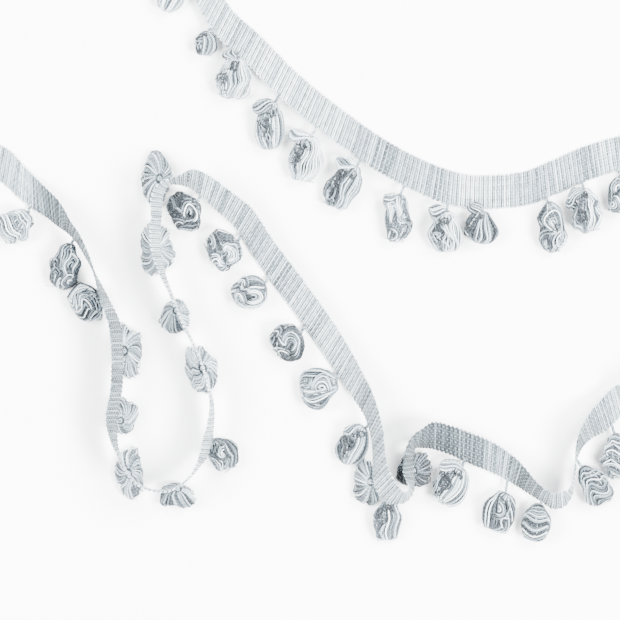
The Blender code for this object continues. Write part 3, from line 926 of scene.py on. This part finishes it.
@dataclass
class Pompom:
    """A tied skein of looped yarn on its stem.

    lock_spreads says how much the locks differ in height, turn, sway and fullness.
    """

    row: PompomRow
    route: Route
    seed: int
    strand_thickness: float = 0.88 * MILLIMETRE
    strand_spacing: float = 1.14
    dye_shift: float = 0.06
    strand_sides: int = 5
    strand_steps: int = 15
    strand_scatter: float = 0.08
    dye_drift: float = 0.10
    neck_share: float = 0.12
    neck_thickness: float = 0.70
    locks: int = 6
    lock_spreads: tuple[float, ...] = (0.05, 0.08, 0.12, 0.05)
    wave_swing: float = 0.42
    wave_count: float = 1.35
    wave_lag: float = 1.1
    wave_spread: float = 0.5
    tie_shade: float = 0.40
    tie_shade_reach: float = 0.05
    crown_tie_shade: float = 0.15
    onion_paleness: float = 0.75
    crown_contrast: float = 0.75
    crown_twist: float = 2.4
    arch_steps: int = 30
    arch_spacing: float = 0.98
    arch_waves: float = 0.95
    arch_drop: float = 0.42
    arch_swing: float = 0.075
    curl_steps: int = 22
    curl_eye: float = 0.20
    curl_stretch: float = 1.22
    curl_spacing: float = 1.12
    curl_rim: float = 1.0
    curl_swell: float = 0.22
    curl_ripple: float = 0.05
    curl_dive: float = 0.45
    curl_dive_share: float = 0.16
    curl_past_drop: float = 1.3
    curl_parting_shade: float = 0.30
    crimps: float = 5.0
    crimp_lift: float = 0.13
    crimp_sway: float = 0.10
    crimp_shade: float = 0.2
    ragged: float = 0.09
    loose_ends: int = 6
    end_reach_mm: tuple[float, float] = (1.0, 2.2)
    end_thickness: float = 0.42
    end_steps: int = 7
    squeeze_reach: float = 0.80 * MILLIMETRE
    squeeze_pitch: float = 3.6 * MILLIMETRE
    squeeze_fade: float = 6 * MILLIMETRE
    settle: float = 0.3 * MILLIMETRE
    table_press: float = 0.92
    under_share: float = 0.87
    under_thickness: float = 1.3
    under_steps: int = 9
    under_shade_dye: float = 0.76
    under_contrast: float = 0.2
    stem_yarns: int = 3
    stem_thickness: float = 0.95 * MILLIMETRE
    stem_coil: float = 0.52 * MILLIMETRE
    stem_pitch: float = 4.0 * MILLIMETRE
    stem_root: float = 2.0 * MILLIMETRE
    stem_bend: float = 1.5 * MILLIMETRE
    stem_tail: float = 0.8 * MILLIMETRE
    stem_steps: int = 17
    knot_turns: float = 2.3
    knot_steps: int = 30
    knot_length_mm: float = 1.3
    knot_back_mm: float = 0.9
    knot_reach: float = 1.05 * MILLIMETRE
    knot_thickness: float = 0.40
    knot_dye: float = 0.80
    crown_knot_dye: float = 0.40
    lobe_pitch: float = 12.0
    lobe_lift: float = 1.0 * MILLIMETRE
    core_share: float = 0.78
    core_rings: int = 9
    core_sides: int = 12
    core_clearance: float = 0.5 * MILLIMETRE
    core_shade_dye: float = 1.0

    def __post_init__(self) -> None:
        """Rest the pompom's form on the table, and draw how it is squeezed out of true."""
        row = self.row
        tie = plan_point(row.tie_x, row.tie_y)
        self.body = Body(tie, row.bearing, row.pitch, (row.length, row.across, row.thick))
        tie[2] -= self.body.lowest() + self.settle
        self.rng = np.random.default_rng(self.seed)
        self.squeeze = self.rng.normal(0.0, 1.0, (4, 3)) / self.squeeze_pitch
        self.phase = self.rng.random(4) * TAU
        self.yarn = YarnMesh()

    def warp(self, points: np.ndarray) -> np.ndarray:
        """Move points as the whole pompom is squeezed out of true.

        Args:
            points: any array of points.

        Returns:
            The moved points.
        """
        local = points - self.body.tie
        shift = np.zeros_like(local)
        for order, (way, phase) in enumerate(zip(self.squeeze, self.phase)):
            swing = np.sin(local @ way + phase)[..., None]
            shift += swing * (self.body.side, self.body.axis, self.body.up, self.body.side)[order]
        # Nothing moves at the tie
        away = np.linalg.norm(local, axis=-1, keepdims=True)
        fade = np.clip(away / self.squeeze_fade, 0.0, 1.0)
        return points + shift * fade * self.squeeze_reach

    def wind(self, body: Body, angle: np.ndarray, share: np.ndarray, full: np.ndarray,
             dye: np.ndarray, scale: float = 1.0) -> None:
        """Lay yarns on a form.

        Args:
            body: the form.
            angle: round the form's axis, by yarn and point.
            share: from tie to tip, by yarn and point.
            full: how far out, by yarn and point.
            dye: depth of dye, with any painted shade, by yarn and point.
            scale: the yarn's thickness against the usual one.
        """
        # Painted shade: the dye deepens near the tie, where the gathered yarns shade one another
        deep = self.crown_tie_shade if body.standing else self.tie_shade
        shade = deep * np.exp(-share / self.tie_shade_reach)
        self.lay(body, body.skin(angle, share, full), dye + shade,
                 scale * np.interp(share, (0.0, self.neck_share), (self.neck_thickness, 1.0)))

    def lay(self, body: Body, paths: np.ndarray, dye: np.ndarray,
            scale: float | np.ndarray = 1.0) -> None:
        """Squeeze middle lines with the whole pompom, and draw their yarns.

        Args:
            body: the form that the yarns lie on.
            paths: middle lines, by yarn and point.
            dye: depth of dye, with any painted shade, by yarn and point.
            scale: the yarn's thickness against the usual one.
        """
        paths = self.warp(paths)
        spread = self.rng.normal(0.0, self.strand_scatter, (len(paths), 1))
        radius = self.strand_thickness / 2 * (1.0 + spread)
        radius = np.broadcast_to(radius * scale, paths.shape[:2])
        paths[..., 2] = np.maximum(paths[..., 2], radius * self.table_press)
        ups = paths - (body.tie + body.axis * body.length * 0.5)
        self.yarn.add_tubes(paths, ups, radius, np.clip(dye, 0.0, 1.0), self.strand_sides)

    def shades(self, start: np.ndarray, share: np.ndarray, depth: float) -> np.ndarray:
        """Space-dyed depths: neighbours differ, and each changes slowly along its length.

        Args:
            start: each yarn's place round the form.
            share: from tie to tip, by yarn and point.
            depth: the skein's depth of dye on the whole.

        Returns:
            Depth of dye by yarn and point.
        """
        count = len(start)
        # Pale, middling and deep lengths follow one another, so that few neighbours match
        steps = np.array((-0.8 * depth, 0.26, -0.45 * depth, 0.10, 0.40))
        skips = self.rng.integers(0, 2, count)
        order = (np.arange(count) + np.cumsum(skips * np.roll(skips, 1))
                 + self.rng.integers(0, len(steps)))
        bright = steps[order % len(steps)][:, None] * self.rng.uniform(0.6, 1.1, (count, 1))
        bright = bright * (self.crown_contrast if self.row.lay is Lay.CROWN else 1.0)
        drift = self.dye_drift * waves(self.rng, start + 0.0 * share, 2.1, 3)
        along = self.dye_drift * waves(self.rng, share + 2.0 * start, 1.1, 2)
        return depth + self.dye_shift + bright + drift + along

    def reach_of(self, count: int) -> np.ndarray:
        """How far each yarn reaches towards the tip before it turns under, as a share."""
        return 1.0 - np.abs(self.rng.normal(0.0, self.ragged, (count, 1)))

    def locks_of_yarn(self, body: Body, count: int, depth: float) -> None:
        """Yarns from tie to tip, gathered into locks that part and ride over one another.

        Args:
            body: the form.
            count: how many yarns.
            depth: mean depth of dye.
        """
        rng = self.rng
        share = np.linspace(0.0, 1.0, self.strand_steps)[None] * self.reach_of(count)
        order = np.arange(count)
        lock = order * self.locks // count
        spot = (order * self.locks / count - lock)[:, None] * 2 - 1
        lift, turn, sway, tall = (rng.normal(0.0, spread, self.locks)[lock][:, None]
                                  for spread in self.lock_spreads)
        start = ((lock[:, None] + 0.5 + 0.49 * spot) / self.locks) * TAU + rng.random() * TAU
        twist = self.row.twist * (self.crown_twist if self.row.lay is Lay.CROWN else 1.0)
        angle = (start + (math.radians(twist) + turn) * share
                 + sway * np.sin(math.pi * share) + rng.normal(0.0, 0.025, (count, 1)))
        full = (1.0 + lift + 0.07 * (1 - spot**2) - 0.03
                + rng.normal(0.0, 0.045, (count, 1)) + tall * share)
        # A few neighbours on one flank crimp and sink; painted shade darkens them between the rest
        flank = math.radians(rng.uniform(120.0, 170.0))
        crimp = np.clip(np.cos(start - flank) * 3.0 - 1.9, 0.0, 1.0)
        crimp = crimp * np.sin(math.pi * share) * (not body.standing)
        ripple = np.sin(TAU * (self.crimps * share + rng.random((count, 1))))
        full = full - crimp * self.crimp_lift * (0.6 + ripple)
        angle = angle + crimp * self.crimp_sway * np.roll(ripple, 1, axis=1)
        self.wind(body, angle, share, full,
                  self.shades(start, share, depth) + self.crimp_shade * crimp)

    def waves_of_yarn(self, body: Body, count: int, depth: float, reach: float = 1.0) -> None:
        """Yarns from tie to tip that sway together, so that their waves nest.

        Args:
            body: the form.
            count: how many yarns.
            depth: mean depth of dye.
            reach: how far out they lie, as a share of the form.
        """
        rng = self.rng
        share = np.linspace(0.0, 1.0, self.strand_steps)[None] * self.reach_of(count)
        start = (np.arange(count) / count * TAU)[:, None] + rng.normal(0.0, 0.02, (count, 1))
        sway = np.sin(TAU * (self.wave_count * share)
                      + self.wave_lag * np.sin(start + rng.random() * TAU))
        swing = self.wave_swing * (
            1.0 + self.wave_spread * np.sin(start + rng.random() * TAU))
        angle = start + math.radians(self.row.twist) * share + swing * sway * np.sqrt(share)
        full = (reach + 0.06 * np.sin(3.0 * start + 4.0 * share + rng.random() * TAU)
                + rng.normal(0.0, 0.05, (count, 1)))
        self.wind(body, angle, share, full, self.shades(start, share, depth))

    def curls(self, depth: float) -> None:
        """Locks that curl over the skein's top, each over the one before.

        Args:
            depth: mean depth of dye.
        """
        rng, body = self.rng, self.body
        mirror = 1.0 if self.row.lay is Lay.ONION else rng.choice((-1.0, 1.0))
        for layer, curl in enumerate(CURLS[self.row.lay]):
            reach = curl.reach * rng.uniform(0.9, 1.15)
            width = reach * (1.0 - self.curl_eye) * body.wide
            count = max(3, round(width / (self.strand_thickness * self.curl_spacing)))
            nest = np.linspace(self.curl_eye, 1.0, count)[:, None]
            part = np.linspace(0.0, 1.0, self.curl_steps)[None] + rng.normal(0.0, 0.02, (count, 1))
            turn = np.radians((360.0 - curl.sweep) / 2 + curl.sweep * part)
            opens = math.radians(curl.opens + rng.normal(0.0, 14.0))
            ripple = self.curl_ripple * np.sin(TAU * (1.7 * part + rng.random())) * nest
            middle = rng.normal(0.0, 0.06, 2)
            # Each curl is a hairpin, longer than it is wide
            onward = (reach * nest + ripple) * np.cos(turn) * self.curl_stretch
            sideways = (reach * nest + ripple) * np.sin(turn) / self.curl_stretch
            along = (curl.along + middle[0] + onward * math.cos(opens)
                     - sideways * math.sin(opens))
            aside = (curl.aside + middle[1] + onward * math.sin(opens)
                     + sideways * math.cos(opens))
            out = np.hypot(along, aside)
            # Past the rim a yarn turns down and under
            past = np.clip(out - self.curl_rim, 0.0, 1.0)
            kept = (np.minimum(out, self.curl_rim) - 0.25 * past) / np.maximum(out, 0.01)
            dome = np.sqrt(np.clip(1.0 - (out * kept) ** 2, 0.0, 1.0))
            ends = np.minimum(part, 1.0 - part)
            dive = np.clip(1.0 - ends / self.curl_dive_share, 0.0, 1.0) ** 2
            height = (dome + 0.05 + 0.05 * layer + self.curl_swell * np.sin(math.pi * nest)
                      - self.curl_dive * dive - self.curl_past_drop * past
                      + rng.normal(0.0, 0.02, (count, 1)))
            paths = (body.tie + body.axis * (body.length * (0.5 + 0.5 * along * kept))[..., None]
                     + body.side * (mirror * body.wide * aside * kept)[..., None]
                     + body.up * (body.deep * height)[..., None])
            # Painted shade: the dye deepens between one lock and the next
            parting_shade = self.curl_parting_shade * np.abs(2.0 * nest - 1.0) ** 6
            shade = self.shades(nest * TAU, part, depth) + curl.deeper + rng.normal(0.0, 0.06)
            # Painted shade deepens the ends that dive under and the yarns turned down past the rim
            self.lay(body, paths, shade + 0.5 * dive + 0.3 * past + parting_shade)

    def arches(self, depth: float) -> None:
        """Yarns that cross the skein, arched round an eye at the tie and waved towards the tip.

        Args:
            depth: mean depth of dye.
        """
        rng, body = self.rng, self.body
        count = round(body.length / (self.strand_thickness * self.arch_spacing))
        nest = np.linspace(0.0, 1.0, count)[:, None]
        across = np.linspace(-1.0, 1.0, self.arch_steps)[None]
        phase = rng.uniform(0.0, TAU)
        wave = np.cos(TAU * self.arch_waves * across + phase)
        share = (0.10 + 0.84 * nest + self.arch_drop * (1.0 - nest) ** 1.5 * across**2
                 + self.arch_swing * np.sqrt(nest) * wave + rng.normal(0.0, 0.008, (count, 1)))
        flank = math.pi * (0.62 - 0.10 * (1.0 - nest)) + rng.normal(0.0, 0.10, (count, 1))
        angle = math.pi / 2 + rng.uniform(-0.25, 0.25) - flank * across
        full = 1.02 + 0.05 * np.cos(across * math.pi / 2) + rng.normal(0.0, 0.035, (count, 1))
        shade = self.shades(nest * TAU, (across + 1.0) / 2, depth)
        # Painted shade: the dye deepens round the eye near the tie
        shade = shade + 0.5 * np.exp(-nest / 0.07) + 0.0 * across
        self.lay(body, body.skin(angle, np.clip(share, 0.03, 1.0), full), shade)

    def under_yarns(self, body: Body, depth: float) -> None:
        """Inner yarns, dyed deep as painted shade, that show dark through the partings.

        Args:
            body: the form.
            depth: mean depth of dye.
        """
        thickness = self.strand_thickness * self.under_thickness
        count = int(body.girth() * self.under_share / thickness)
        share = np.linspace(0.0, 1.0, self.under_steps)[None]
        start = (np.arange(count) / count * TAU)[:, None]
        angle = start + math.radians(self.row.twist) * share
        full = self.under_share + self.rng.normal(0.0, 0.02, (count, 1)) + 0.0 * share
        # Painted shade: a deep base dye, with a little real variation from the shades
        shade = self.shades(start, share, depth) * self.under_contrast + self.under_shade_dye
        self.wind(body, angle, share, full, shade, self.under_thickness)

    def core(self, body: Body) -> None:
        """Painted shade: a dark skin inside the skein that shows only through the partings."""
        share = np.linspace(0.10, 0.92, self.core_rings)[:, None]
        angle = np.linspace(0.0, TAU, self.core_sides, endpoint=False)[None, :]
        rings = self.warp(body.skin(angle, share, self.core_share))
        rings[..., 2] = np.maximum(rings[..., 2], self.core_clearance)
        self.yarn.add_rings(rings[None], np.full((1, self.core_rings), self.core_shade_dye),
                            np.zeros((1, self.core_rings)))

    def ends(self) -> None:
        """Loose ends that stand out at the tip."""
        rng, body = self.rng, self.body
        count = self.loose_ends
        share = np.linspace(0.0, 1.0, self.end_steps)[None, :, None]
        start = body.skin(rng.random(count) * TAU, rng.uniform(0.80, 0.98, count), 0.95)[:, None]
        way = body.axis + body.side * rng.normal(0.0, 0.7, (count, 1, 1))
        curl = body.side * rng.normal(0.0, 1.6, (count, 1, 1)) - body.axis * 0.6
        reach = rng.uniform(*self.end_reach_mm, (count, 1, 1)) * MILLIMETRE
        paths = start + (way * share + curl * share**2) * reach
        radius = self.strand_thickness * self.end_thickness
        paths[..., 2] = np.maximum(paths[..., 2], radius)
        shade = np.repeat(rng.uniform(0.1, 0.7, (count, 1)), self.end_steps, axis=1)
        self.yarn.add_tubes(paths, np.broadcast_to(body.up, paths.shape), radius, shade,
                            self.strand_sides)

    def stem(self) -> None:
        """A few yarns twisted together, from inside the heading to the tie."""
        body = self.body
        length = self.route.length_near(self.row.root_x, self.row.root_y)
        edge, rib, _ = (part[0] for part in self.route.sections(np.array([length])))
        start = edge + rib * self.stem_root
        bend = edge - rib * self.stem_bend
        share = np.linspace(0.0, 1.0, self.stem_steps)[:, None]
        end = body.tie + body.axis * self.stem_tail
        line = (1 - share) ** 2 * start + 2 * share * (1 - share) * bend + share**2 * end
        travel = unit(np.gradient(line, axis=0))
        across = unit(np.cross(travel, np.array([0.13, 0.29, 1.0])))
        over = np.cross(travel, across)
        run = np.concatenate(([0.0], np.cumsum(np.linalg.norm(np.diff(line, axis=0), axis=1))))
        for ply in range(self.stem_yarns):
            angle = (TAU * (run / self.stem_pitch + ply / self.stem_yarns))[:, None]
            path = line + self.stem_coil * (np.cos(angle) * across + np.sin(angle) * over)
            path[:, 2] = np.maximum(path[:, 2], self.stem_thickness / 2)
            shade = np.full((1, len(line)), self.rng.uniform(0.35, 0.85))
            self.yarn.add_tubes(path[None], over[None], self.stem_thickness / 2, shade, 6)

    def knot(self) -> None:
        """Turns of yarn that tie the skein at its neck."""
        body = self.body
        turn = np.linspace(0.0, self.knot_turns * TAU, self.knot_steps)[:, None]
        rise = body.axis * (turn / turn.max() * self.knot_length_mm - self.knot_back_mm)
        path = body.tie + rise * MILLIMETRE + self.knot_reach * (
            np.cos(turn) * body.side + np.sin(turn) * body.up)
        shade = np.full((1, len(path)), self.crown_knot_dye if body.standing else self.knot_dye)
        self.yarn.add_tubes(path[None], (path - body.tie)[None],
                            self.stem_thickness * self.knot_thickness, shade, self.strand_sides)

    def lobes(self) -> None:
        """Locks that fell to one side of the tie."""
        for lobe in SIDE_LOBES:
            if lobe.pompom == self.row.name:
                size = (lobe.length, lobe.across, lobe.thick)
                tie = self.body.tie + self.body.up * self.lobe_lift
                form = Body(tie, lobe.bearing, self.lobe_pitch, size)
                self.waves_of_yarn(form, int(form.girth() / self.strand_thickness), lobe.dye)
                self.core(form)

    def dress(self, material: bpy.types.Material) -> bpy.types.Object:
        """Build the pompom, hang it on the root and hide the solid that it stands for.

        Args:
            material: the yarn's finish.

        Returns:
            The pompom.
        """
        body, row = self.body, self.row
        count = int(body.girth() / (self.strand_thickness * self.strand_spacing))
        if row.lay in (Lay.ARCH, Lay.KNOT):
            # Painted shade: the yarns under the arches and curls are dyed 0.15 deeper
            self.waves_of_yarn(body, count * 3 // 4, row.dye + 0.15, self.under_share)
        elif row.lay is Lay.WAVE:
            self.waves_of_yarn(body, count, row.dye)
        else:
            pale = self.onion_paleness if row.lay is Lay.ONION else 1.0
            self.locks_of_yarn(body, count, row.dye * pale)
        if row.lay is Lay.ARCH:
            self.arches(row.dye)
        self.curls(row.dye)
        if not body.standing:
            self.ends()
        self.lobes()
        self.under_yarns(body, row.dye)
        self.core(body)
        self.stem()
        self.knot()
        piece = self.yarn.build(f"skein_{row.name}", material)
        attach(piece, "root")
        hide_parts(f"pompom_{row.name}")
        return piece


class Lamp(NamedTuple):
    """A soft square light: where it hangs and its side in metres, and its watts."""

    name: str
    place: tuple[float, float, float]
    size: float
    power: float


@dataclass
class Studio:
    """A pale table, soft light and the camera straight above."""

    camera_height: float = 3.0
    sensor: float = 36.0
    picture_width: float = PICTURE_SIDE * PIXEL
    floor_half: float = 4.0
    floor_colour: str = "#FBFBFB"
    floor_roughness: float = 0.95
    floor_specular: float = 0.1
    sky_strength: float = 2.2
    lamps: tuple[Lamp, ...] = (
        Lamp("key", (1.35, -0.70, 2.1), 0.8, 340.0),
        Lamp("upper_right", (1.20, 0.85, 2.1), 1.0, 230.0),
        Lamp("fill", (-1.6, 0.1, 2.1), 1.2, 300.0),
    )

    def hang(self, lamp: Lamp) -> None:
        """Hang a light so that it faces the middle of the table.

        Args:
            lamp: which one.
        """
        light = bpy.data.lights.new(lamp.name, "AREA")
        light.size = lamp.size
        light.energy = lamp.power
        holder = put(lamp.name, light)
        holder.location = lamp.place
        holder.rotation_euler = (-Vector(lamp.place)).to_track_quat("-Z", "Y").to_euler()

    def build(self) -> None:
        """Set out the table, the lights and the camera."""
        scene = bpy.context.scene
        # Matt white paper: bright, with no gloss
        paper = new_material("matt_white_paper", {
            "Base Color": linear(self.floor_colour), "Roughness": self.floor_roughness,
            "Specular IOR Level": self.floor_specular})
        half = self.floor_half
        mesh = bpy.data.meshes.new("table")
        mesh.from_pydata([(-half, -half, 0), (half, -half, 0), (half, half, 0), (-half, half, 0)],
                         [], [(0, 1, 2, 3)])
        mesh.materials.append(paper)
        table = put("table", mesh)

        world = bpy.data.worlds.new("studio")
        world.use_nodes = True
        sky = world.node_tree.nodes["Background"]
        sky.inputs["Color"].default_value = linear("#FFFFFF")
        sky.inputs["Strength"].default_value = self.sky_strength
        scene.world = world
        for lamp in self.lamps:
            self.hang(lamp)

        lens = bpy.data.cameras.new("camera")
        lens.sensor_width = self.sensor
        lens.lens = self.sensor * self.camera_height / self.picture_width
        lens.clip_end = 50.0
        camera = put("camera", lens)
        middle = plan_point(PICTURE_SIDE / 2, PICTURE_SIDE / 2)
        camera.location = (middle[0], middle[1], self.camera_height)
        scene.camera = camera


def main() -> None:
    """Build the trim's pieces in order, and the studio round them."""
    logging.basicConfig(level=logging.INFO, format="%(name)s: %(message)s")
    Studio().build()
    heading_yarn = HEADING_FINISH.build()
    pompom_yarn = POMPOM_FINISH.build()
    route = Route(STATIONS, Heading.width)
    for piece in Heading(route).dress(heading_yarn):
        LOG.info("%s: %d faces", piece.name, len(piece.data.polygons))
    for seed, row in enumerate(LOWER_POMPOMS + TURN_POMPOMS + TOP_POMPOMS, start=FIRST_SEED):
        piece = Pompom(row, route, seed).dress(pompom_yarn)
        LOG.info("%s: %d faces", piece.name, len(piece.data.polygons))


if __name__ == "__main__":
    main()
